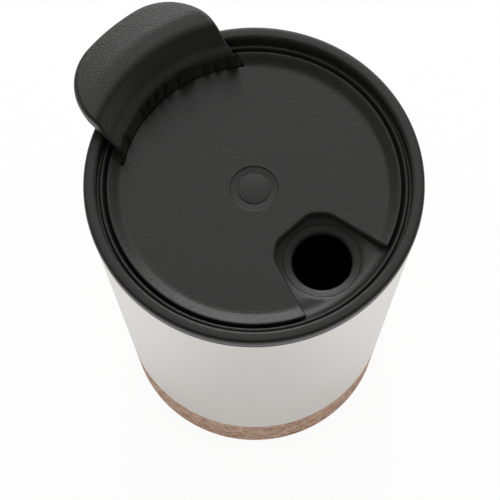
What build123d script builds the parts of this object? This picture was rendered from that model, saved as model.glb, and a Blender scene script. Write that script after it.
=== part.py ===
from build123d import *
import os
from math import sqrt

os.makedirs("parts", exist_ok=True)

# A double-wall travel cup with a push-in lid. A disc turns on the lid to open or close a
# round drinking hole. Millimetres, axis on Z, standing on z = 0.

# Cup: overall sizes
steel_height = 105.5        # table to the top edge of the steel shell
base_radius = 34.6          # outside of the cork, at the table
mouth_radius = 45.5         # outside of the steel, at its top edge
steel_wall = 0.6
cork_height = 16.2
cork_wall = 2.4
cork_edge_round = 1.2
seam = 0.05                 # glued faces that follow the same cone

# Cup: inside
liner_wall = 1.6
mouth_space = 3.9           # from the steel's outside to the liner's inside, at the top
foot_space = 4.8            # from the cork's outside to the liner's inside, at the foot
liner_mouth_radius = mouth_radius - mouth_space
liner_foot_radius = base_radius - foot_space
liner_floor_height = 9.0    # inside floor above the table
liner_floor_wall = 2.0
liner_lip = 0.8             # thickness of the lip that hides the steel edge
base_floor_wall = 2.4
base_groove_depth = 0.6      # ring groove moulded in the underside
base_groove_outer = 28.0
base_groove_inner = 24.5
core_height = 21.0          # top of the base core, inside the steel
neck_ring_section = 1.6

# Lid: heights are measured up from the top of the liner lip
lid_overhang = 0.5
lid_radius = mouth_radius + lid_overhang
lid_rest_gap = 0.05
rim_height = 3.95
bead_width = 3.4
groove_width = 0.85
rim_inner_radius = lid_radius - bead_width
groove_radius = rim_inner_radius - groove_width
ridge_width = 0.95
ridge_height = 1.15
groove_level = 0.3
floor_drop = 2.15           # the lid floor lies this far below the rim's foot
floor_wall = 2.2
cove_radius = 2.6
skirt_clearance = 1.1
skirt_radius = liner_mouth_radius - skirt_clearance
skirt_wall = 1.7
skirt_depth = 10.0
seal_section = 1.5
seal_height = 2.6
seal_squeeze_gap = 0.05

# Turning disc
disc_edge_gap = 1.0
disc_radius = groove_radius - ridge_width - disc_edge_gap
disc_wall = 1.8
disc_gap = 0.3              # running gap above the lid floor
disc_lip_span = 4.0
disc_flat_radius = disc_radius - disc_lip_span
disc_lip_rise = 1.2
disc_lip_width = 1.2
disc_edge_bevel = 0.4

# Drinking hole
hole_radius = 8.0
hole_edge_margin = 4.7      # from the hole to the disc's edge
hole_distance = disc_radius - hole_radius - hole_edge_margin
hole_bearing = -47.9        # degrees from +X
dish_width = 2.5
dish_radius = hole_radius + dish_width
dish_drop = 1.3

# Notch in the disc, over the hole
notch_inner_margin = 3.5
notch_side_margin = 1.9
notch_start = hole_distance - hole_radius - notch_inner_margin
notch_half_start = 6.2
notch_shoulder = notch_start + 3.4
notch_half_shoulder = hole_radius + notch_side_margin
notch_mouth = disc_radius - 5.0
notch_half_mouth = notch_half_shoulder + 4.2
notch_corner_round = 6.0
notch_inner_round = 4.5

# Pivot
pin_radius = 4.4
pin_shank_radius = 2.5
pin_tip_radius = 1.6
boss_ring_radius = 6.5
boss_ring_depth = 0.3
pin_cap_wall = 0.8
running_fit = 0.08
retainer_radius = 5.5
retainer_wall = 1.4
ring_section = 1.2
ring_radius = 4.6

# Stop: a lug under the disc runs in an arc track in the lid floor
stop_radius = 11.5
stop_width = 2.4
stop_depth = 1.2
stop_clearance = 0.3
stop_start = -40.0          # degrees, lug at rest
turn_range = 180.0

# Closing pad, on the disc's underside opposite the notch
pad_margin = 0.5
pad_radius = dish_radius + pad_margin
pad_wall = 0.8
pad_gap = 0.15              # clear of the lid floor while it turns

# Thumb tab
tab_bearing = 131.5
tab_overhang = 12.6
tab_reach = lid_radius + tab_overhang
tab_half_width = 22.1
tab_corner_round = 16.0
tab_wall = 1.8
tab_level = 8.3             # underside of the lever above the liner lip
tab_foot_span = 3.8
tab_foot_radius = disc_radius - tab_foot_span
tab_foot_depth = 0.3
tab_clearance = 0.05


def cone_radius(z):
    return base_radius + (mouth_radius - base_radius) * z / steel_height


def liner_radius(z):
    share = (z - liner_floor_height) / (steel_height - liner_floor_height)
    return liner_foot_radius + (liner_mouth_radius - liner_foot_radius) * share


def turned(points, rounds=None):
    """A solid turned about Z from its half section, each point (radius, height)."""
    if rounds:
        outline = FilletPolyline(*points, radius=rounds, close=True)
    else:
        outline = Polyline(*points, close=True)
    return revolve(Plane.XZ * make_face(outline), Axis.Z)


def disc_at(radius, z_low, z_high, x=0.0, y=0.0):
    height = z_high - z_low
    return Pos(x, y, z_low + height / 2) * Cylinder(radius, height)


def ring_of_round_section(radius, section, z):
    return Pos(0, 0, z) * Torus(radius, section / 2)


lip_top = steel_height + liner_lip
lid_foot = lip_top + lid_rest_gap
lid_floor = lid_foot - floor_drop
disc_under = lid_floor + disc_gap
disc_top = disc_under + disc_wall
hole_centre = Vector(hole_distance, 0).rotate(Axis.Z, hole_bearing)


def outer_shell():
    """Steel cone, open below where the cork starts, its top edge turned in under the lip."""
    hem = 1.6
    low, high = cork_height + seam, steel_height
    return turned([
        (cone_radius(low), low), (cone_radius(high), high),
        (cone_radius(high) - hem, high), (cone_radius(high) - hem, high - steel_wall),
        (cone_radius(high) - steel_wall, high - steel_wall),
        (cone_radius(low) - steel_wall, low)])


def cork_base():
    """Cork sleeve on the lower end, flush with the steel above it."""
    return turned(
        [(base_radius - cork_wall, 0), (base_radius, 0),
         (cone_radius(cork_height), cork_height),
         (cone_radius(cork_height) - cork_wall, cork_height)],
        [0, cork_edge_round, 0, 0])


def base_core():
    """Plastic cup inside the cork. It closes the shell and holds the liner's foot."""
    outer = base_radius - cork_wall - seam
    step = cone_radius(cork_height) - cork_wall - seam
    ledge = cork_height + 2 * seam
    throat = cone_radius(ledge) - steel_wall - seam
    foot = liner_floor_height - liner_floor_wall
    return turned([
        (0, 0), (base_groove_inner, 0), (base_groove_inner, base_groove_depth),
        (base_groove_outer, base_groove_depth), (base_groove_outer, 0),
        (outer, 0), (step, cork_height), (step, ledge), (throat, ledge), (throat, core_height),
        (liner_radius(core_height) + liner_wall + seam, core_height),
        (liner_radius(foot) + liner_wall + seam, foot),
        (liner_radius(foot) + liner_wall + seam, base_floor_wall), (0, base_floor_wall)])


def inner_liner():
    """Drinking cup of black plastic, with a lip over the steel edge."""
    foot = liner_floor_height - liner_floor_wall
    return turned(
        [(0, foot), (liner_radius(foot) + liner_wall, foot),
         (liner_mouth_radius + liner_wall, steel_height), (mouth_radius, steel_height),
         (mouth_radius, lip_top), (liner_mouth_radius, lip_top),
         (liner_foot_radius, liner_floor_height), (0, liner_floor_height)],
        [0, 1.5, 0, 0, 0.4, 0.5, 2.5, 0])


def neck_ring():
    """Soft ring that seals the space between liner and steel, under the turned-in edge."""
    z = steel_height - steel_wall - neck_ring_section / 2 - seam
    radius = liner_radius(z) + liner_wall + neck_ring_section / 2 + seam
    return ring_of_round_section(radius, neck_ring_section, z)


def drinking_hole():
    """What is cut from the lid floor: a straight bore under a shallow dish."""
    x, y = hole_centre.X, hole_centre.Y
    bore = disc_at(hole_radius, lid_floor - 2 * floor_wall, lid_floor + 1, x, y)
    dish = Cone(hole_radius, dish_radius, dish_drop)
    return bore + Pos(x, y, lid_floor - dish_drop / 2) * dish


def stop_track():
    """Arc track in the lid floor. It is longer than the lug by the turn of the disc."""
    half = stop_width / 2 + stop_clearance
    slack = 360 * stop_clearance / (2 * 3.1416 * stop_radius)
    lug_half = 360 * (stop_width / 2) / (2 * 3.1416 * stop_radius)
    section = Plane.XZ * Pos(stop_radius, lid_floor) * Rectangle(2 * half, 2 * stop_depth)
    sweep_angle = turn_range + 2 * (lug_half + slack)
    return Rot(0, 0, stop_start - lug_half - slack) * revolve(section, Axis.Z, sweep_angle)


def lid_body():
    """Push-in lid: rounded rim, groove, thin ridge, floor for the disc, skirt below."""
    under = lid_floor - floor_wall
    ridge_inner = groove_radius - ridge_width
    skirt_foot = lid_foot - skirt_depth
    seal_z = lid_foot - seal_height - seal_section
    seat = skirt_radius - seal_section * 0.55
    body = turned(
        [(0, under), (skirt_radius - skirt_wall - seal_section, under),
         (skirt_radius - skirt_wall - seal_section, skirt_foot), (skirt_radius - 0.6, skirt_foot),
         (skirt_radius, seal_z - seal_section), (seat, seal_z - seal_section),
         (seat, seal_z + seal_section), (skirt_radius, seal_z + seal_section),
         (skirt_radius, lid_foot), (lid_radius - 0.4, lid_foot),
         (lid_radius, lid_foot + 0.6 * rim_height), (lid_radius - 0.1, lid_foot + rim_height),
         (rim_inner_radius, lid_foot + rim_height), (rim_inner_radius - 0.15, lid_foot + groove_level),
         (groove_radius, lid_foot + groove_level),
         (groove_radius, lid_foot + ridge_height), (ridge_inner, lid_foot + ridge_height),
         (ridge_inner, lid_floor), (0, lid_floor)],
        [0, 1.0, 0.5, 0.5, 0, 0, 0, 0, 0, 0.3, 0.8, 1.45, 1.1, 0.2, 0.2, 0.35, 0.35,
         cove_radius, 0])
    pin_bore = disc_at(pin_shank_radius + running_fit, under - 1, lid_floor + 1)
    ring_seat = disc_at(ring_radius + ring_section / 2 + seam, lid_floor - ring_section + 0.1, lid_floor + 1)
    return body - drinking_hole() - pin_bore - ring_seat - stop_track()


def lid_seal():
    """Silicone ring with two lips in the skirt's groove."""
    z = lid_foot - seal_height - seal_section
    half = seal_section - seam
    inner = skirt_radius - seal_section * 0.55 + seam
    outer = liner_radius(z) - seal_squeeze_gap
    waist = (inner + outer) / 2
    return turned([
        (inner, z - half), (waist, z - half), (outer - 0.25, z - half * 0.7), (waist, z - 0.2),
        (waist, z + 0.2), (outer, z + half * 0.7), (waist, z + half), (inner, z + half)])


def notch():
    """Flared opening from the disc's middle to its edge, over the drinking hole."""
    past_edge = disc_radius + 6
    flare = (notch_half_mouth - notch_half_shoulder) / (notch_mouth - notch_shoulder)
    half_out = notch_half_mouth + flare * (past_edge - notch_mouth)
    outline = FilletPolyline(
        (notch_start, -notch_half_start), (notch_shoulder, -notch_half_shoulder),
        (past_edge, -half_out), (past_edge, half_out),
        (notch_shoulder, notch_half_shoulder), (notch_start, notch_half_start),
        radius=[notch_inner_round, notch_corner_round, 0, 0, notch_corner_round, notch_inner_round], close=True)
    return Rot(0, 0, hole_bearing) * Pos(0, 0, disc_under - 1) * extrude(make_face(outline), disc_wall + 5)


def tab_outline(margin=0.0):
    """Plan of the tab: an arc at its reach, straight sides and large round corners."""
    reach = tab_reach + margin
    half = tab_half_width + margin
    corner = Vector(sqrt(reach**2 - half**2), half)
    inner = (tab_foot_radius - margin) * 0.8
    side = Polyline((corner.X, -half), (inner, -half), (inner, half), (corner.X, half))
    end = ThreePointArc((corner.X, half), (reach, 0), (corner.X, -half))
    face = make_face([side, end])
    outer = face.vertices().sort_by(Axis.X)[-2:]
    return fillet(outer, tab_corner_round)


def tab_section(margin=0.0):
    """Half section of the tab: a steep foot from the disc's edge, then a level lever."""
    under = lid_foot + tab_level - lid_rest_gap
    foot = disc_top - tab_foot_depth
    heel = disc_radius - 1.2
    return FilletPolyline(
        (tab_foot_radius - margin, foot - margin), (heel, foot - margin),
        (heel + margin, lid_foot + rim_height + 0.2), (lid_radius - 1.5, lid_foot + rim_height + 1.2),
        (lid_radius + 4, under - 0.6), (tab_reach + 5, under),
        (tab_reach + 5, under + tab_wall), (lid_radius + 1, under + tab_wall),
        (lid_radius - 4.2, under - 1.6), (tab_foot_radius + 2.2, disc_top + 4.6),
        (tab_foot_radius - margin, disc_top),
        radius=[0, 0, 0.8, 3, 6, 0, 0, 8, 5, 2.4, 0], close=True)


def thumb_tab():
    """Lever that turns the disc. Its foot sits in a pocket at the disc's edge."""
    turned_band = revolve(Plane.XZ * make_face(tab_section()), Axis.Z)
    band = turned_band & extrude(tab_outline(), lip_top + tab_level + 20)
    return Rot(0, 0, tab_bearing) * band


def tab_pocket():
    """Seat for the tab's foot, cut through the disc's lip down to the foot's depth."""
    floor = disc_top - tab_foot_depth - tab_clearance
    inner = tab_foot_radius - tab_clearance
    half = tab_half_width + tab_clearance
    band = disc_at(disc_radius + 2, floor, floor + 10) - disc_at(inner, floor - 1, floor + 11)
    plan = Pos(disc_radius / 2, 0, floor + 5) * Box(disc_radius + 4, 2 * half, 14)
    return Rot(0, 0, tab_bearing) * (band & plan)


def swivel_disc():
    """Dished disc with a raised lip, a notch, a boss ring and a stop lug below."""
    blank = turned(
        [(0, disc_under), (disc_flat_radius, disc_under),
         (disc_radius, disc_under + disc_lip_rise),
         (disc_radius, disc_top + disc_lip_rise - disc_edge_bevel),
         (disc_radius - disc_edge_bevel, disc_top + disc_lip_rise),
         (disc_radius - disc_lip_width, disc_top + disc_lip_rise),
         (disc_flat_radius, disc_top), (0, disc_top)])
    boss_ring = disc_at(boss_ring_radius, disc_top - boss_ring_depth, disc_top + 1)
    cap_seat = disc_at(pin_radius + seam, disc_top - pin_cap_wall, disc_top + 1)
    shank = disc_at(pin_shank_radius + seam, disc_under - 1, disc_top + 1)
    pad_seat_top = lid_floor + pad_gap + pad_wall + seam
    pad_at = Vector(-hole_centre.X, -hole_centre.Y)
    pad_seat = disc_at(pad_radius + seam, disc_under - 2, pad_seat_top, pad_at.X, pad_at.Y)
    lug = Rot(0, 0, stop_start) * Pos(stop_radius, 0, disc_under - stop_depth / 2 + 0.3) * Box(
        stop_width, stop_width, stop_depth)
    return blank - boss_ring - cap_seat - shank - pad_seat - notch() - tab_pocket() + lug


def pivot_pin():
    """Capped pin pressed through the disc. Its shank turns in the lid floor."""
    tip = lid_floor - floor_wall - retainer_wall - 1.2
    cap_low = disc_top - pin_cap_wall
    return turned(
        [(0, tip), (pin_shank_radius, tip), (pin_shank_radius, cap_low), (pin_radius, cap_low),
         (pin_radius, disc_top), (0, disc_top)],
        [0, 0.4, 0, 0, 0.3, 0])


def pivot_ring():
    """Small O-ring round the shank, in its seat in the lid floor."""
    z = lid_floor - ring_section / 2 + 0.1 + seam
    return ring_of_round_section(ring_radius, ring_section - 0.1, z)


def pivot_retainer():
    """Push-on washer that holds the pin below the lid floor."""
    top = lid_floor - floor_wall - 0.25
    washer = disc_at(retainer_radius, top - retainer_wall, top)
    return washer - disc_at(pin_shank_radius + seam, top - 3, top + 1)


def closing_pad():
    """Silicone pad that covers the drinking hole when the disc is turned to closed."""
    low = lid_floor + pad_gap
    return disc_at(pad_radius, low, low + pad_wall, -hole_centre.X, -hole_centre.Y)


pieces = {
    "outer_shell": outer_shell(),
    "cork_base": cork_base(),
    "base_core": base_core(),
    "inner_liner": inner_liner(),
    "neck_ring": neck_ring(),
    "lid_body": lid_body(),
    "lid_seal": lid_seal(),
    "pivot_ring": pivot_ring(),
    "swivel_disc": swivel_disc(),
    "thumb_tab": thumb_tab(),
    "pivot_pin": pivot_pin(),
    "pivot_retainer": pivot_retainer(),
    "closing_pad": closing_pad(),
}

for name, piece in pieces.items():
    export_step(piece, f"parts/{name}.step")
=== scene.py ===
import math

import bmesh
import bpy
from mathutils import Matrix, Vector
from mathutils.geometry import delaunay_2d_cdt


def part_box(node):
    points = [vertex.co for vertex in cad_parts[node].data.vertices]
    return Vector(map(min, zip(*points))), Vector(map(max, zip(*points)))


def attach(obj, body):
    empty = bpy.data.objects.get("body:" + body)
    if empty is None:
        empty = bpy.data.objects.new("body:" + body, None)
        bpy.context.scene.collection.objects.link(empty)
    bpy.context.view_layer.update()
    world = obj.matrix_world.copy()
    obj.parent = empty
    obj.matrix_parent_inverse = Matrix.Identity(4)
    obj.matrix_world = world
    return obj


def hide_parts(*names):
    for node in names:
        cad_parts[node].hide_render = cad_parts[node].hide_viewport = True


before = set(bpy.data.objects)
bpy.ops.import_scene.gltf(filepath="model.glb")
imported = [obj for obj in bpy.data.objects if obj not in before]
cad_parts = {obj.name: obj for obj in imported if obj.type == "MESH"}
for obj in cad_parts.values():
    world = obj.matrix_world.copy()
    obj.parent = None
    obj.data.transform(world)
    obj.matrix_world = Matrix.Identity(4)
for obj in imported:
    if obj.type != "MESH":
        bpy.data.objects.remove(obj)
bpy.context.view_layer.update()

# ---------------------------------------------------------------------------
# Camera, floor and light. The cup stands on a plain white floor and is seen from high in
# front, through a long lens. Soft panels behind and above give the lid its highlights. The
# surround looks white, but reflections find it dark overhead and on the viewer's side.
# ---------------------------------------------------------------------------
MM = 0.001
RIM_DROP = 0.8                   # the rim's centre is taken this far below the lid's top
lid_low, lid_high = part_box("lid_body")
rim_centre = Vector((0.0, 0.0, lid_high.z - RIM_DROP * MM))

VIEW_DISTANCE = 1.38
VIEW_ELEVATION = math.radians(67.7)
VIEW_ROLL = math.radians(-0.37)
FOCAL_TO_WIDTH = 10.258          # focal length over picture width
AIM_RIGHT = 0.00078              # how far the rim's centre lies right of the view's axis, as a tangent
AIM_UP = 0.01289                 # and above it

back = Vector((0.0, -math.cos(VIEW_ELEVATION), math.sin(VIEW_ELEVATION)))
turn = Matrix.Rotation(math.pi / 2 - VIEW_ELEVATION, 4, "X")
roll = Matrix.Rotation(VIEW_ROLL, 4, "Z")
pan = Matrix.Rotation(math.atan(AIM_RIGHT), 4, "Y")
tilt = Matrix.Rotation(-math.atan(AIM_UP), 4, "X")
camera_data = bpy.data.cameras.new("camera")
camera_data.sensor_width = 36.0
camera_data.lens = FOCAL_TO_WIDTH * camera_data.sensor_width
camera_data.clip_end = 20.0
camera = bpy.data.objects.new("camera", camera_data)
camera.matrix_world = Matrix.Translation(rim_centre + back * VIEW_DISTANCE) @ turn @ roll @ pan @ tilt
bpy.context.collection.objects.link(camera)
bpy.context.scene.camera = camera
bpy.context.scene.view_settings.view_transform = "Standard"


class Value:
    """A socket of a shader tree. Sums written on it add their Math nodes."""

    def __init__(self, shader, socket):
        self.shader = shader
        self.socket = socket

    def sum(self, operation, first, second):
        return self.shader.node("Math", {"operation": operation}, [first, second])

    def __add__(self, other):
        return self.sum("ADD", self, other)

    def __radd__(self, other):
        return self.sum("ADD", other, self)

    def __sub__(self, other):
        return self.sum("SUBTRACT", self, other)

    def __rsub__(self, other):
        return self.sum("SUBTRACT", other, self)

    def __mul__(self, other):
        return self.sum("MULTIPLY", self, other)

    def __rmul__(self, other):
        return self.sum("MULTIPLY", other, self)


class Shader:
    """The node tree of a material or of the world, emptied and ready for new nodes."""

    def __init__(self, owner):
        owner.use_nodes = True
        self.tree = owner.node_tree
        self.tree.nodes.clear()

    def node(self, kind, settings=None, feeds=(), output=0):
        made = self.tree.nodes.new("ShaderNode" + kind)
        for name, setting in (settings or {}).items():
            setattr(made, name, setting)
        for place, feed in (feeds.items() if isinstance(feeds, dict) else enumerate(feeds)):
            if isinstance(feed, Value):
                self.tree.links.new(feed.socket, made.inputs[place])
            else:
                made.inputs[place].default_value = feed
        if output is None or not made.outputs:
            return made
        return Value(self, made.outputs[output])

    def ramp(self, factor, stops):
        made = self.node("ValToRGB", feeds=[factor], output=None)
        band = made.color_ramp
        while len(band.elements) < len(stops):
            band.elements.new(0.5)
        for element, (place, colour) in zip(band.elements, stops):
            element.position = place
            element.color = (*colour, 1.0)
        return Value(self, made.outputs[0])


def lit_for_sight(shader, plain, glossy, seen):
    """One level for light, another for reflections and another for what the eye sees."""
    path = shader.node("LightPath", output=None)
    sight = Value(shader, path.outputs["Is Camera Ray"])
    mirror = Value(shader, path.outputs["Is Glossy Ray"])
    through = Value(shader, path.outputs["Is Transmission Ray"])
    return plain + mirror * (glossy - plain) + (sight + through) * (seen - plain)


WORLD_FILL = 0.85
HORIZON_GLOW = 0.95              # what reflections find low down
CEILING_GLOW = 0.12              # and overhead, where the studio is dark
FADE_UP = (0.12, 0.55)           # upward part of a direction, where the fade starts and ends
FRONT_SHARE = 0.2                # how much of it is left on the viewer's side
FADE_FRONT = (-0.6, 0.15)        # backward part of a direction, where that fade starts and ends
world = bpy.data.worlds.new("surround")
bpy.context.scene.world = world
sky = Shader(world)
direction = sky.node("TexCoord", output="Generated")
height = sky.node("SeparateXYZ", feeds=[direction], output=2)
studio = sky.node("MapRange", {"interpolation_type": "SMOOTHSTEP"},
                  {"Value": height, 1: FADE_UP[0], 2: FADE_UP[1], 3: HORIZON_GLOW, 4: CEILING_GLOW})
depth = sky.node("SeparateXYZ", feeds=[direction], output=1)
front = sky.node("MapRange", {"interpolation_type": "SMOOTHSTEP"},
                 {"Value": depth, 1: FADE_FRONT[0], 2: FADE_FRONT[1], 3: FRONT_SHARE, 4: 1.0})
glow = sky.node("Background", feeds={"Strength": lit_for_sight(sky, WORLD_FILL, studio * front, 1.0)})
sky.node("OutputWorld", feeds=[glow])

FLOOR_SIZE = 6.0
FLOOR_SIGHT = 0.93               # share of plain white that the eye sees; the rest is lit and shaded
FLOOR_MIRROR = 0.35              # how much of that share reflections find
floor_mesh = bpy.data.meshes.new("floor")
half_floor = FLOOR_SIZE / 2
corners = [(-half_floor, -half_floor, 0), (half_floor, -half_floor, 0),
           (half_floor, half_floor, 0), (-half_floor, half_floor, 0)]
floor_mesh.from_pydata(corners, [], [(0, 1, 2, 3)])
floor = bpy.data.objects.new("floor", floor_mesh)
bpy.context.collection.objects.link(floor)
floor_paint = bpy.data.materials.new("floor_paint")
paint = Shader(floor_paint)
matt = paint.node("BsdfDiffuse", feeds={"Color": (0.9, 0.9, 0.9, 1.0)})
white = paint.node("Emission", feeds={"Color": (1.0, 1.0, 1.0, 1.0), "Strength": 1.0})
path = paint.node("LightPath", output=None)
seen = Value(paint, path.outputs["Is Camera Ray"])
seen = seen + Value(paint, path.outputs["Is Glossy Ray"]) * FLOOR_MIRROR
seen = seen + Value(paint, path.outputs["Is Transmission Ray"])
paint.node("OutputMaterial", feeds=[paint.node("MixShader", feeds=[seen * FLOOR_SIGHT, matt, white])])
floor_mesh.materials.append(floor_paint)


def panel(name, place, aim, width, depth, radiance):
    """A soft lamp panel. Its power gives the radiance asked for."""
    lamp = bpy.data.lights.new(name, "AREA")
    lamp.shape = "RECTANGLE"
    lamp.size = width
    lamp.size_y = depth
    lamp.energy = radiance * math.pi * width * depth
    holder = bpy.data.objects.new(name, lamp)
    direction = Vector(place) - Vector(aim)
    holder.matrix_world = Matrix.Translation(place) @ direction.to_track_quat("Z", "Y").to_matrix().to_4x4()
    bpy.context.collection.objects.link(holder)


panel("back_panel", (0.0, 1.10, 0.80), rim_centre, 1.1, 0.50, 5.4)
panel("top_panel", (0.0, 0.62, 1.45), rim_centre, 0.75, 0.70, 1.1)


# ---------------------------------------------------------------------------
# Steel shell. Spun stainless cone with a fine satin finish that runs round it. It is open
# where the cork starts, and its top edge turns in under the liner's lip.
# ---------------------------------------------------------------------------
SEGMENTS = 192


def eased(corners, closed=True, steps=5):
    """Points of an outline from its corners (x, y, round). A round above 0 becomes an arc."""
    points = []
    count = len(corners)
    for place, (x, y, round_) in enumerate(corners):
        here = Vector((x, y))
        at_end = not closed and place in (0, count - 1)
        if round_ <= 0 or at_end:
            points.append(here)
            continue
        to_last = Vector(corners[place - 1][:2]) - here
        to_next = Vector(corners[(place + 1) % count][:2]) - here
        half = to_last.angle(to_next) / 2
        reach = min(round_ / math.tan(half), 0.49 * to_last.length, 0.49 * to_next.length)
        radius = reach * math.tan(half)
        to_last.normalize()
        to_next.normalize()
        centre = here + (to_last + to_next).normalized() * (radius / math.sin(half))
        start = here + to_last * reach - centre
        end = here + to_next * reach - centre
        sweep = start.angle(end)
        for step in range(steps + 1):
            share = step / steps
            arm = start * math.sin((1 - share) * sweep) + end * math.sin(share * sweep)
            points.append(centre + arm / math.sin(sweep))
    return points


def ring(mesh, radius, height, centre=(0.0, 0.0), count=SEGMENTS):
    """A ring of vertices, or one vertex where the radius is nought. Sizes in millimetres."""
    if radius < 1e-6:
        return [mesh.verts.new((centre[0] * MM, centre[1] * MM, height * MM))]
    made = []
    for step in range(count):
        angle = 2 * math.pi * step / count
        x = centre[0] + radius * math.cos(angle)
        y = centre[1] + radius * math.sin(angle)
        made.append(mesh.verts.new((x * MM, y * MM, height * MM)))
    return made


def bridge(mesh, first, second):
    """Faces between two rings of vertices."""
    count = max(len(first), len(second))
    for step in range(count):
        after = (step + 1) % count
        if len(first) == 1:
            mesh.faces.new((first[0], second[after], second[step]))
        elif len(second) == 1:
            mesh.faces.new((first[step], first[after], second[0]))
        else:
            mesh.faces.new((first[step], first[after], second[after], second[step]))


def turn_on_axis(mesh, points, closed=True, centre=(0.0, 0.0)):
    """Turns half section points (radius, height) about an upright axis."""
    rings = [ring(mesh, x, y, centre) for x, y in points]
    for first, second in zip(rings, rings[1:]):
        if len(first) + len(second) > 2:
            bridge(mesh, first, second)
    if closed and len(rings[0]) + len(rings[-1]) > 2:
        bridge(mesh, rings[-1], rings[0])
    return rings


SHARP = math.radians(40)


def finished(name, mesh, material, body, replaced):
    """Makes the piece from its mesh, with its material, and puts it on its body."""
    bmesh.ops.remove_doubles(mesh, verts=mesh.verts, dist=1e-6)
    bmesh.ops.recalc_face_normals(mesh, faces=mesh.faces)
    data = bpy.data.meshes.new(name)
    mesh.to_mesh(data)
    mesh.free()
    data.materials.append(material)
    data.shade_smooth()
    data.set_sharp_from_angle(angle=SHARP)
    piece = bpy.data.objects.new(name, data)
    bpy.context.collection.objects.link(piece)
    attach(piece, body)
    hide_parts(replaced)
    return piece


def turned_piece(name, corners, material, body, replaced):
    mesh = bmesh.new()
    turn_on_axis(mesh, eased(corners))
    return finished(name, mesh, material, body, replaced)


def node_box(node):
    """A CAD node's lowest and highest height and its largest radius, in millimetres."""
    low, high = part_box(node)
    return low.z / MM, high.z / MM, high.x / MM


shell_low, shell_high, mouth_radius = node_box("outer_shell")
cork_low, cork_high, cork_top_radius = node_box("cork_base")
STEEL_WALL = 0.6
HEM = 1.6
taper = (mouth_radius - cork_top_radius) / (shell_high - cork_high)


def cone_radius(height):
    return mouth_radius - taper * (shell_high - height)


def brushed_steel():
    made = bpy.data.materials.new("satin_steel")
    steel = Shader(made)
    place = steel.node("TexCoord", output="Object")
    along = steel.node("Mapping", feeds={"Vector": place, "Scale": (60.0, 60.0, 5200.0)})
    lines = steel.node("TexNoise", feeds={"Vector": along, "Scale": 1.0, "Detail": 4.0}, output="Fac")
    cloud = steel.node("TexNoise", feeds={"Vector": place, "Scale": 22.0, "Detail": 2.0}, output="Fac")
    bump = steel.node("Bump", feeds={"Strength": 0.10, "Distance": 0.00002, "Height": lines})
    tint = steel.ramp(lines * 0.6 + cloud * 0.4, [(0.25, (0.745, 0.73, 0.69)), (0.75, (0.81, 0.80, 0.77))])
    rough = 0.27 + lines * 0.08 + cloud * 0.06
    skin = steel.node("BsdfPrincipled", feeds={
        "Base Color": tint, "Metallic": 1.0, "Roughness": rough, "Normal": bump})
    steel.node("OutputMaterial", feeds=[skin])
    return made


satin_steel = brushed_steel()
turned_piece("steel_shell", [
    (cone_radius(shell_low), shell_low, 0.15), (mouth_radius, shell_high, 0.3),
    (mouth_radius - HEM, shell_high, 0.2), (mouth_radius - HEM, shell_high - STEEL_WALL, 0.1),
    (mouth_radius - STEEL_WALL, shell_high - STEEL_WALL, 0.1),
    (cone_radius(shell_low) - STEEL_WALL, shell_low, 0.15)],
    satin_steel, "cup", "outer_shell")


# ---------------------------------------------------------------------------
# Cork band. Pressed cork granules turned to the same cone as the steel and glued on. Its
# lower edge is rounded by sanding.
# ---------------------------------------------------------------------------
CORK_WALL = 2.4
CORK_EDGE = 1.2


def pressed_cork():
    made = bpy.data.materials.new("pressed_cork")
    cork = Shader(made)
    place = cork.node("TexCoord", output="Object")
    drift = cork.node("TexNoise", feeds={"Vector": place, "Scale": 700.0, "Detail": 3.0}, output="Color")
    bent = cork.node("VectorMath", {"operation": "MULTIPLY_ADD"}, [drift, (0.0009,) * 3, place])
    grains = cork.node("TexVoronoi", feeds={"Vector": bent, "Scale": 820.0}, output=None)
    cell = Value(cork, grains.outputs["Color"])
    gap = Value(cork, grains.outputs["Distance"])
    shade = cork.node("SeparateColor", feeds=[cell], output=0)
    fine = cork.node("TexNoise", feeds={"Vector": place, "Scale": 3200.0, "Detail": 5.0}, output="Fac")
    tint = cork.ramp(shade * 0.65 + fine * 0.35, [
        (0.10, (0.26, 0.145, 0.095)), (0.30, (0.47, 0.295, 0.205)),
        (0.62, (0.60, 0.405, 0.30)), (0.90, (0.72, 0.53, 0.41))])
    specks = cork.node("TexNoise", feeds={"Vector": place, "Scale": 1500.0, "Detail": 2.0}, output="Fac")
    holes = cork.node("MapRange", {"clamp": True}, {"Value": specks, 1: 0.60, 2: 0.68, 3: 0.0, 4: 0.75})
    dark = cork.node("Mix", {"data_type": "RGBA"}, {0: holes, 6: tint, 7: (0.19, 0.11, 0.075, 1.0)}, output=2)
    bump = cork.node("Bump", feeds={
        "Strength": 0.55, "Distance": 0.00018, "Height": fine * 0.4 + gap * 0.3 - holes * 0.6})
    skin = cork.node("BsdfPrincipled", feeds={"Base Color": dark, "Roughness": 0.86, "Normal": bump})
    skin.socket.node.inputs["Specular IOR Level"].default_value = 0.25
    cork.node("OutputMaterial", feeds=[skin])
    return made


turned_piece("cork_band", [
    (cone_radius(0) - CORK_WALL, cork_low, 0.2), (cone_radius(0), cork_low, CORK_EDGE),
    (cork_top_radius, cork_high, 0.15), (cork_top_radius - CORK_WALL, cork_high, 0.1)],
    pressed_cork(), "cup", "cork_base")


# ---------------------------------------------------------------------------
# Base core and liner. Black injection-moulded plastic: the core closes the foot of the cup
# and carries a ring groove below, and the liner is the drinking cup with a thin lip.
# ---------------------------------------------------------------------------
core_low, core_high, core_radius = node_box("base_core")
liner_low, liner_high, liner_radius = node_box("inner_liner")
GROOVE = (24.5, 28.0, 0.6)       # inner radius, outer radius, depth
CORE_WALL = 1.9
LINER_WALL = 1.6
LINER_FLOOR = 2.0
LINER_FOOT_RADIUS = 29.8
LINER_MOUTH_RADIUS = 41.6


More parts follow.
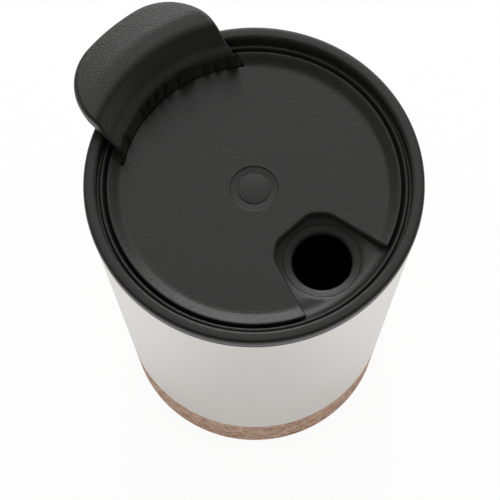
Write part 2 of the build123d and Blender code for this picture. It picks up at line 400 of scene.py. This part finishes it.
def moulded_plastic(name, colour, rough, grain):
    """Black plastic with a fine spark-eroded grain and a faint unevenness in its gloss."""
    made = bpy.data.materials.new(name)
    plastic = Shader(made)
    place = plastic.node("TexCoord", output="Object")
    fine = plastic.node("TexNoise", feeds={"Vector": place, "Scale": 2300.0, "Detail": 4.0}, output="Fac")
    coarse = plastic.node("TexNoise", feeds={"Vector": place, "Scale": 60.0, "Detail": 3.0}, output="Fac")
    low = tuple(0.86 * part for part in colour)
    high = tuple(1.14 * part for part in colour)
    tint = plastic.ramp(fine * 0.7 + coarse * 0.3, [(0.3, low), (0.7, high)])
    bump = plastic.node("Bump", feeds={"Strength": grain, "Distance": 0.00014, "Height": fine})
    skin = plastic.node("BsdfPrincipled", feeds={
        "Base Color": tint, "Roughness": rough - 0.04 + coarse * 0.08, "Normal": bump})
    plastic.node("OutputMaterial", feeds=[skin])
    return made


inner_plastic = moulded_plastic("inner_plastic", (0.012, 0.012, 0.012), 0.36, 0.15)
turned_piece("foot_core", [
    (0, core_low, 0), (GROOVE[0], core_low, 0.2), (GROOVE[0], core_low + GROOVE[2], 0.15),
    (GROOVE[1], core_low + GROOVE[2], 0.15), (GROOVE[1], core_low, 0.2),
    (cone_radius(0) - CORK_WALL - 0.1, core_low, 0.2),
    (cork_top_radius - CORK_WALL - 0.1, cork_high, 0.1),
    (core_radius, cork_high + 0.1, 0.1), (core_radius, core_high, 0.4),
    (core_radius - CORE_WALL, core_high, 0.3), (LINER_FOOT_RADIUS + LINER_WALL, core_low + 4, 0.5),
    (0, core_low + 2.4, 0)],
    inner_plastic, "cup", "base_core")
turned_piece("liner", [
    (0, liner_low, 0), (LINER_FOOT_RADIUS + 1.3, liner_low, 1.5),
    (LINER_MOUTH_RADIUS + LINER_WALL, shell_high, 0.1), (liner_radius, shell_high, 0.15),
    (liner_radius, liner_high, 0.35), (LINER_MOUTH_RADIUS, liner_high, 0.4),
    (LINER_FOOT_RADIUS, liner_low + LINER_FLOOR, 2.5), (0, liner_low + LINER_FLOOR, 0)],
    inner_plastic, "cup", "inner_liner")


# ---------------------------------------------------------------------------
# Lid. One black moulding: a round bead at the rim, a groove, a thin ridge, a coved floor
# with the dished drinking hole, and a skirt below that pushes into the liner.
# ---------------------------------------------------------------------------
lid_foot_level = liner_high + 0.05
lid_top = lid_high.z / MM
lid_radius = lid_high.x / MM
LID_FLOOR = lid_foot_level - 2.15
LID_UNDER = LID_FLOOR - 2.2
SKIRT_RADIUS = 40.5
SKIRT_INSIDE = 37.3
SKIRT_LOW = lid_low.z / MM
SEAL_MIDDLE = lid_foot_level - 4.1
SEAL_HALF = 1.5
SEAL_SEAT = SKIRT_RADIUS - 0.825
RIDGE = (40.8, 41.75, 1.15)      # inner radius, outer radius, height above the rim's foot
BEAD_INSIDE = 42.6
COVE_START = 36.2
COVE_ROUND = 5.5
COVE_END = 40.3                  # where the cove meets the thin ridge
HOLE_DISTANCE = 27.1
HOLE_BEARING = math.radians(-47.9)
HOLE_RADIUS = 8.0
DISH_RADIUS = 10.55
hole = Vector((HOLE_DISTANCE * math.cos(HOLE_BEARING), HOLE_DISTANCE * math.sin(HOLE_BEARING)))
lid_plastic = moulded_plastic("lid_plastic", (0.0135, 0.0135, 0.0125), 0.38, 0.55)


def inside(point, loop):
    """True where the point lies inside the closed loop."""
    hit = False
    for first, second in zip(loop, loop[1:] + loop[:1]):
        if (first[1] > point[1]) != (second[1] > point[1]):
            share = (point[1] - first[1]) / (second[1] - first[1])
            if point[0] < first[0] + share * (second[0] - first[0]):
                hit = not hit
    return hit


def circle(radius, centre=(0.0, 0.0), count=SEGMENTS):
    step = 2 * math.pi / count
    return [Vector((centre[0] + radius * math.cos(step * i), centre[1] + radius * math.sin(step * i)))
            for i in range(count)]


FILL_MARGIN = 0.35               # a loose point this near to a loop is left out


def fill(mesh, outer, gaps, loose, height):
    """Fills a region with triangles. The loose points let it follow height(point)."""
    loops = [outer] + gaps
    points = []
    edges = []
    for loop in loops:
        first = len(points)
        points += loop
        edges += [(first + i, first + (i + 1) % len(loop)) for i in range(len(loop))]
    for spot in loose:
        near = min((spot - point).length_squared for loop in loops for point in loop)
        if near > FILL_MARGIN**2 and inside(spot, outer) and not any(inside(spot, gap) for gap in gaps):
            points.append(spot)
    flat, _, faces, _, _, _ = delaunay_2d_cdt(points, edges, [], 0, 1e-7)
    made = [mesh.verts.new((p.x * MM, p.y * MM, height(p) * MM)) for p in flat]
    for face in faces:
        middle = sum((flat[i] for i in face), Vector((0.0, 0.0))) / len(face)
        if inside(middle, outer) and not any(inside(middle, gap) for gap in gaps):
            mesh.faces.new([made[i] for i in face])


def cove_height(radius):
    reach = max(0.0, radius - COVE_START)
    return COVE_ROUND - math.sqrt(COVE_ROUND**2 - reach**2)


def floor_level(point):
    return LID_FLOOR + cove_height(point.length)


lid = bmesh.new()
cove_top = LID_FLOOR + cove_height(COVE_END)
under_edge = SKIRT_INSIDE - 2
hole_flange = HOLE_RADIUS + 0.8
rim_to_under = eased([
    (COVE_END, cove_top, 0), (RIDGE[0] - 0.15, cove_top + 0.6, 0.3),
    (RIDGE[0], lid_foot_level + RIDGE[2], 0.4),
    (RIDGE[1], lid_foot_level + RIDGE[2], 0.4), (RIDGE[1], lid_foot_level + 0.3, 0.2),
    (BEAD_INSIDE - 0.1, lid_foot_level + 0.3, 0.2), (BEAD_INSIDE, lid_top, 0.95),
    (lid_radius - 0.05, lid_top, 1.35), (lid_radius, lid_foot_level + 2.3, 1.2),
    (lid_radius - 0.4, lid_foot_level, 0.35), (SKIRT_RADIUS, lid_foot_level, 0.2),
    (SKIRT_RADIUS, SEAL_MIDDLE + SEAL_HALF, 0.1), (SEAL_SEAT, SEAL_MIDDLE + SEAL_HALF, 0.1),
    (SEAL_SEAT, SEAL_MIDDLE - SEAL_HALF, 0.1), (SKIRT_RADIUS, SEAL_MIDDLE - SEAL_HALF, 0.1),
    (SKIRT_RADIUS - 0.6, SKIRT_LOW, 0.5), (SKIRT_INSIDE, SKIRT_LOW, 0.5),
    (SKIRT_INSIDE, LID_UNDER, 1.0), (under_edge, LID_UNDER, 0)], closed=False, steps=6)
turn_on_axis(lid, rim_to_under, closed=False)
dish = eased([
    (DISH_RADIUS, LID_FLOOR - 0.1, 0), (DISH_RADIUS - 0.25, LID_FLOOR - 0.4, 0.2),
    (HOLE_RADIUS + 0.1, LID_FLOOR - 0.8, 0.9), (HOLE_RADIUS, LID_UNDER, 0.3),
    (hole_flange, LID_UNDER, 0)], closed=False, steps=6)
dish_rings = turn_on_axis(lid, dish, closed=False, centre=hole)
dish_edge = circle(DISH_RADIUS + 0.12, hole)
bridge(lid, [lid.verts.new((p.x * MM, p.y * MM, floor_level(p) * MM)) for p in dish_edge], dish_rings[0])
COVE_RADII = (35.0, 36.0, 36.5, 37.0, 37.5, 38.0, 38.5, 39.0, 39.4, 39.8)
CLEAR_OF_DISH = DISH_RADIUS + 0.9
cove_spots = []
for radius in COVE_RADII:
    cove_spots += [p for p in circle(radius, count=150) if (p - hole).length > CLEAR_OF_DISH]
fill(lid, circle(COVE_END), [dish_edge], cove_spots, floor_level)
fill(lid, circle(under_edge), [circle(hole_flange, hole)], [], lambda p: LID_UNDER)
finished("lid", lid, lid_plastic, "lid", "lid_body")


# ---------------------------------------------------------------------------
# Turning disc. Thin black moulding with a raised, sloping lip. A flared notch uncovers the
# drinking hole, a shallow boss ring takes the pin's cap, and a pocket takes the tab's foot.
# ---------------------------------------------------------------------------
DISC_RADIUS = 39.8
DISC_UNDER = LID_FLOOR + 0.3
DISC_TOP = DISC_UNDER + 1.8
LIP_START = 36.0
LIP_END = 39.3
LIP_RISE = 1.2
BOSS_RADIUS = 6.5
BOSS_DEPTH = 0.28
PIN_HOLE = 2.55
PIN_CAP = 4.4
TAB_BEARING = math.radians(131.5)
TAB_REACH = 58.6
TAB_HALF = 22.1
TAB_FOOT_HALF = 20.7
TAB_FOOT = 36.0
TAB_CORNER = 16.0
TAB_GAP = 0.12
FLANGE_MARGIN = 1.35            # the tab's flush flange stands out this far at each end


def lip_height(radius):
    """How far the lip lifts the disc at this radius: an eased start, then a straight slope."""
    share = max(0.0, min(1.0, (radius - LIP_START) / (LIP_END - LIP_START)))
    ease = 0.25
    lift = share**2 / (2 * ease) if share < ease else share - ease / 2
    return LIP_RISE * lift / (1 - ease / 2)


def turned_by(point, angle):
    cos, sin = math.cos(angle), math.sin(angle)
    return Vector((point[0] * cos - point[1] * sin, point[0] * sin + point[1] * cos))


def corner(radius, bearing, round_=0):
    """A corner of an outline, placed by its bearing from the axis."""
    return radius * math.cos(bearing), radius * math.sin(bearing), round_


def spot(radius, bearing):
    return Vector(corner(radius, bearing)[:2])


def edge_arc(start, end, radius=DISC_RADIUS):
    """Corners along an arc of the edge, about a millimetre apart."""
    count = max(2, round(abs(end - start) * radius))
    return [corner(radius, start + (end - start) * i / count) for i in range(1, count)]


# One side of the notch: distance towards the hole, distance across, and round of each corner.
NOTCH = [(15.6, 6.0, 4.5), (19.0, 9.9, 6.0), (34.8, 14.1, 0)]
NOTCH_MOUTH_ROUND = 1.8
POCKET_CORNER = 1.5
POCKET_RIM_CORNER = 0.6
flare = (NOTCH[2][1] - NOTCH[1][1]) / (NOTCH[2][0] - NOTCH[1][0])
mouth_u = 36.9
mouth_v = NOTCH[2][1] + flare * (mouth_u - NOTCH[2][0])
notch_half_angle = math.atan2(mouth_v, mouth_u)
pocket_half = TAB_FOOT_HALF + FLANGE_MARGIN
pocket_angle = math.asin((pocket_half + 0.3) / DISC_RADIUS)
pocket_inner = TAB_FOOT - TAB_GAP
pocket_inner_angle = math.asin(pocket_half / pocket_inner)
outline = [(*turned_by((mouth_u, -mouth_v), HOLE_BEARING), NOTCH_MOUTH_ROUND)]
outline += [(*turned_by((u, -v), HOLE_BEARING), round_) for u, v, round_ in reversed(NOTCH[:2])]
outline += [(*turned_by((u, v), HOLE_BEARING), round_) for u, v, round_ in NOTCH[:2]]
outline += [(*turned_by((mouth_u, mouth_v), HOLE_BEARING), NOTCH_MOUTH_ROUND)]
outline += edge_arc(HOLE_BEARING + notch_half_angle, TAB_BEARING - pocket_angle)
outline += [corner(DISC_RADIUS, TAB_BEARING - pocket_angle, POCKET_RIM_CORNER)]
outline += [corner(pocket_inner, TAB_BEARING - pocket_inner_angle, POCKET_CORNER)]
outline += edge_arc(TAB_BEARING - pocket_inner_angle, TAB_BEARING + pocket_inner_angle, pocket_inner)
outline += [corner(pocket_inner, TAB_BEARING + pocket_inner_angle, POCKET_CORNER)]
outline += [corner(DISC_RADIUS, TAB_BEARING + pocket_angle, POCKET_RIM_CORNER)]
outline += edge_arc(TAB_BEARING + pocket_angle, HOLE_BEARING - notch_half_angle + 2 * math.pi)


def divided(loop, longest):
    """The same loop with extra points on its long straight runs."""
    points = []
    for here, after in zip(loop, loop[1:] + loop[:1]):
        count = max(1, math.ceil((after - here).length / longest))
        points += [here.lerp(after, step / count) for step in range(count)]
    return points


EDGE_SPACING = 1.2
disc_edge = divided(eased(outline, steps=7), EDGE_SPACING)


def inset(loop, distance):
    """The same loop moved inwards by distance(point)."""
    moved = []
    for last, here, after in zip(loop[-1:] + loop[:-1], loop, loop[1:] + loop[:1]):
        run = (after - last).normalized()
        moved.append(here + Vector((-run.y, run.x)) * distance(here))
    return moved


CLEAR_OF_EDGE = 0.6              # no loose point this near to an edge loop
HOLDING = 0.25                   # width of the flat strip that holds each edge round


def rounded_slab(mesh, edge, gaps, loose, top, under, round_at, under_round=0.12, steps=5):
    """A slab inside the edge, between two heights, its upper edge rounded by round_at(point).

    The gaps are two lists of loops, left open in the upper and in the lower face.
    """
    def level(points, base, drops):
        return [mesh.verts.new((p.x * MM, p.y * MM, (base(p) + drop) * MM)) for p, drop in zip(points, drops)]

    rounds = [round_at(point) for point in edge]
    low = inset(edge, lambda p: under_round)
    loops = [level(low, under, [0.0] * len(edge)), level(edge, under, [under_round] * len(edge))]
    for step in range(steps + 1):
        angle = math.pi / 2 * step / steps
        moved = inset(edge, lambda p, share=1 - math.cos(angle): round_at(p) * share)
        loops.append(level(moved, top, [-size * (1 - math.sin(angle)) for size in rounds]))
    moved = inset(edge, lambda p: round_at(p) + HOLDING)
    loops.append(level(moved, top, [0.0] * len(edge)))
    for first, second in zip(loops, loops[1:]):
        bridge(mesh, first, second)
    loose = [p for p in loose if all((p - q).length > CLEAR_OF_EDGE for q in moved)]
    fill(mesh, moved, gaps[0], loose, top)
    fill(mesh, low, gaps[1], loose, under)


def disc_top_level(point):
    return DISC_TOP + lip_height(point.length)


def disc_under_level(point):
    return DISC_UNDER + lip_height(point.length)


NOTCH_ROUND = 0.7
RIM_ROUND = 0.28
POCKET_ROUND = 0.16


def disc_edge_round(point):
    """Soft along the notch, crisp round the rim, and almost sharp where the tab is let in."""
    inward = max(0.0, min(1.0, (DISC_RADIUS - 0.2 - point.length) / 2.5))
    wanted = NOTCH_ROUND if point.dot(hole) > 0 else POCKET_ROUND
    return RIM_ROUND + (wanted - RIM_ROUND) * inward


DISC_RADII = (10, 14, 18, 22, 26, 30, 33, 35, 35.7, 36.2, 36.6, 37.0, 37.5, 38.0, 38.6, 39.05)
DISC_SPACING = 1.6
boss_outside = BOSS_RADIUS + 0.3
disc = bmesh.new()
disc_spots = []
for radius in DISC_RADII:
    disc_spots += circle(radius, count=max(24, round(2 * math.pi * radius / DISC_SPACING)))
rounded_slab(disc, disc_edge, ([circle(boss_outside)], [circle(PIN_HOLE)]), disc_spots,
             disc_top_level, disc_under_level, disc_edge_round)
boss = eased([
    (boss_outside, DISC_TOP, 0), (BOSS_RADIUS, DISC_TOP, 0.14),
    (BOSS_RADIUS - 0.05, DISC_TOP - BOSS_DEPTH, 0.1), (PIN_HOLE, DISC_TOP - BOSS_DEPTH, 0.05),
    (PIN_HOLE, DISC_UNDER, 0)], closed=False)
turn_on_axis(disc, boss, closed=False)
finished("disc", disc, lid_plastic, "disc", "swivel_disc")

PIN_SHANK = 2.5
pin_low = DISC_UNDER - 5.1
pin_top = DISC_TOP - 0.05
turned_piece("pin", [
    (0, pin_low, 0), (PIN_SHANK, pin_low, 0.4), (PIN_SHANK, DISC_TOP - BOSS_DEPTH, 0.1),
    (PIN_CAP, DISC_TOP - BOSS_DEPTH, 0.05), (PIN_CAP, pin_top, 0.16), (0, pin_top, 0)],
    lid_plastic, "disc", "pivot_pin")


# ---------------------------------------------------------------------------
# Thumb tab. Moulded lever let into the disc's edge. It climbs steeply from its foot, passes
# over the rim's bead, and ends in a nearly level plate with large round corners. A flange at
# each end of its foot lies flush with the disc.
# ---------------------------------------------------------------------------
tab_low, tab_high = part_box("thumb_tab")
TAB_TOP = tab_high.z / MM
TAB_FOOT_LOW = tab_low.z / MM
upper = eased([
    (TAB_FOOT, DISC_TOP + 0.25, 0), (37.8, DISC_TOP + 5.1, 1.6), (41.0, DISC_TOP + 6.1, 3.0),
    (44.8, TAB_TOP + 0.1, 4.0), (50.0, TAB_TOP + 0.1, 8.0), (TAB_REACH, TAB_TOP - 1.6, 0)],
    closed=False, steps=8)
lower = eased([
    (TAB_FOOT, TAB_FOOT_LOW, 0), (38.3, TAB_FOOT_LOW, 0.2), (38.7, DISC_TOP + 4.2, 0.7),
    (44.0, DISC_TOP + 5.4, 3.0), (50.0, TAB_TOP - 2.7, 6.0), (TAB_REACH, TAB_TOP - 3.3, 0)],
    closed=False, steps=8)


def height_along(points, radius):
    """The height of a section at this radius."""
    for first, second in zip(points, points[1:]):
        if first.x <= radius <= second.x:
            return first.y + (second.y - first.y) * (radius - first.x) / max(second.x - first.x, 1e-9)
    return points[-1].y


corner_v = TAB_HALF - TAB_CORNER
corner_u = math.sqrt((TAB_REACH - TAB_CORNER)**2 - corner_v**2)
CORNER_STEPS = 22
FOOT_STEPS = 40
END_STEPS = 14
end_angle = math.atan2(corner_v, corner_u)
foot_angle = math.asin(TAB_FOOT_HALF / TAB_FOOT)
one_side = []
for step in range(CORNER_STEPS + 1):
    angle = math.pi / 2 + (end_angle - math.pi / 2) * step / CORNER_STEPS
    one_side.append(Vector((corner_u, corner_v)) + spot(TAB_CORNER, angle))
foot_point = spot(TAB_FOOT, foot_angle)
SIDE_STEPS = 16
side_line = [foot_point.lerp(one_side[0], step / SIDE_STEPS) for step in range(1, SIDE_STEPS)]
half_loop = side_line + one_side
end_arc = [spot(TAB_REACH, end_angle * (1 - 2 * i / END_STEPS)) for i in range(1, END_STEPS)]
foot_arc = [spot(TAB_FOOT, foot_angle * (2 * i / FOOT_STEPS - 1)) for i in range(FOOT_STEPS + 1)]
mirrored = [Vector((p.x, -p.y)) for p in reversed(half_loop)]
tab_edge = half_loop + end_arc + mirrored + foot_arc
tab_edge = [turned_by(p, TAB_BEARING) for p in reversed(tab_edge)]
TAB_EDGE_ROUND = 1.0


def tab_top_level(point):
    return height_along(upper, point.length)


def tab_under_level(point):
    return height_along(lower, point.length)


def tab_edge_round(point):
    room = tab_top_level(point) - tab_under_level(point)
    return min(TAB_EDGE_ROUND, 0.45 * room)


tab = bmesh.new()
CLOSE_ROWS = 0.25                # spacing where the section bends
FAR_ROWS = 0.8                   # and on the plate
BEND_LENGTH = 9
tab_spots = []
radius = TAB_FOOT + 0.45
while radius < TAB_REACH - 0.5:
    for column in range(-24, 25):
        tab_spots.append(spot(radius, TAB_BEARING + column * 2 * foot_angle / FOOT_STEPS))
    radius += CLOSE_ROWS if radius < TAB_FOOT + BEND_LENGTH else FAR_ROWS
rounded_slab(tab, tab_edge, ([], []), tab_spots, tab_top_level, tab_under_level, tab_edge_round, 0.1)

FLANGE_RIM_CORNER = 0.4
FLANGE_WALL = 0.9
FLANGE_COLUMN = 0.021            # angle between the loose points of a row
FLANGE_ROW = 0.3
flange_corners = [corner(pocket_inner, TAB_BEARING - pocket_inner_angle, POCKET_CORNER),
                  corner(DISC_RADIUS, TAB_BEARING - pocket_angle, FLANGE_RIM_CORNER)]
flange_corners += edge_arc(TAB_BEARING - pocket_angle, TAB_BEARING + pocket_angle)
flange_corners += [corner(DISC_RADIUS, TAB_BEARING + pocket_angle, FLANGE_RIM_CORNER),
                   corner(pocket_inner, TAB_BEARING + pocket_inner_angle, POCKET_CORNER)]
hidden_angle = foot_angle - 0.03
flange_corners += edge_arc(TAB_BEARING + hidden_angle, TAB_BEARING - hidden_angle, TAB_FOOT + 0.6)
flange_edge = eased(flange_corners, steps=6)
flange_edge = divided(inset(flange_edge, lambda p: TAB_GAP), EDGE_SPACING)
flange_spots = []
for step in range(11):
    radius = TAB_FOOT + 0.3 + FLANGE_ROW * step
    flange_spots += [spot(radius, TAB_BEARING + column * FLANGE_COLUMN) for column in range(-32, 33)]
rounded_slab(tab, flange_edge, ([], []), flange_spots, disc_top_level,
             lambda p: disc_top_level(p) - FLANGE_WALL, lambda p: POCKET_ROUND, 0.1)
finished("tab", tab, lid_plastic, "disc", "thumb_tab")


# ---------------------------------------------------------------------------
# Seals, pad and clip. Soft grey-black silicone seals the skirt and closes the drinking hole.
# The two other rings, and the push-on washer that holds the pin, keep the frame's shapes.
# ---------------------------------------------------------------------------
silicone = moulded_plastic("silicone", (0.030, 0.030, 0.031), 0.62, 0.12)
SEAL_FIT = 0.05
turned_piece("skirt_seal", [
    (SEAL_SEAT + SEAL_FIT, SEAL_MIDDLE - SEAL_HALF + SEAL_FIT, 0.1),
    (40.2, SEAL_MIDDLE - SEAL_HALF + SEAL_FIT, 0.1),
    (40.85, SEAL_MIDDLE - 1.0, 0.15), (40.3, SEAL_MIDDLE - 0.2, 0.3), (40.3, SEAL_MIDDLE + 0.2, 0.3),
    (41.05, SEAL_MIDDLE + 1.0, 0.15), (40.3, SEAL_MIDDLE + SEAL_HALF - SEAL_FIT, 0.2),
    (SEAL_SEAT + SEAL_FIT, SEAL_MIDDLE + SEAL_HALF - SEAL_FIT, 0.1)],
    silicone, "lid", "lid_seal")
PAD_RADIUS = 9.9
PAD_WALL = 0.8
PAD_GAP = 0.15
pad_low = LID_FLOOR + PAD_GAP
pad = bmesh.new()
turn_on_axis(pad, eased([
    (0, pad_low, 0), (PAD_RADIUS, pad_low, 0.25), (PAD_RADIUS, pad_low + PAD_WALL, 0.1),
    (0, pad_low + PAD_WALL, 0)]), centre=-hole)
finished("hole_pad", pad, silicone, "disc", "closing_pad")
for node, material in (("neck_ring", silicone), ("pivot_ring", silicone),
                       ("pivot_retainer", inner_plastic)):
    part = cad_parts[node]
    part.data.materials.clear()
    part.data.materials.append(material)
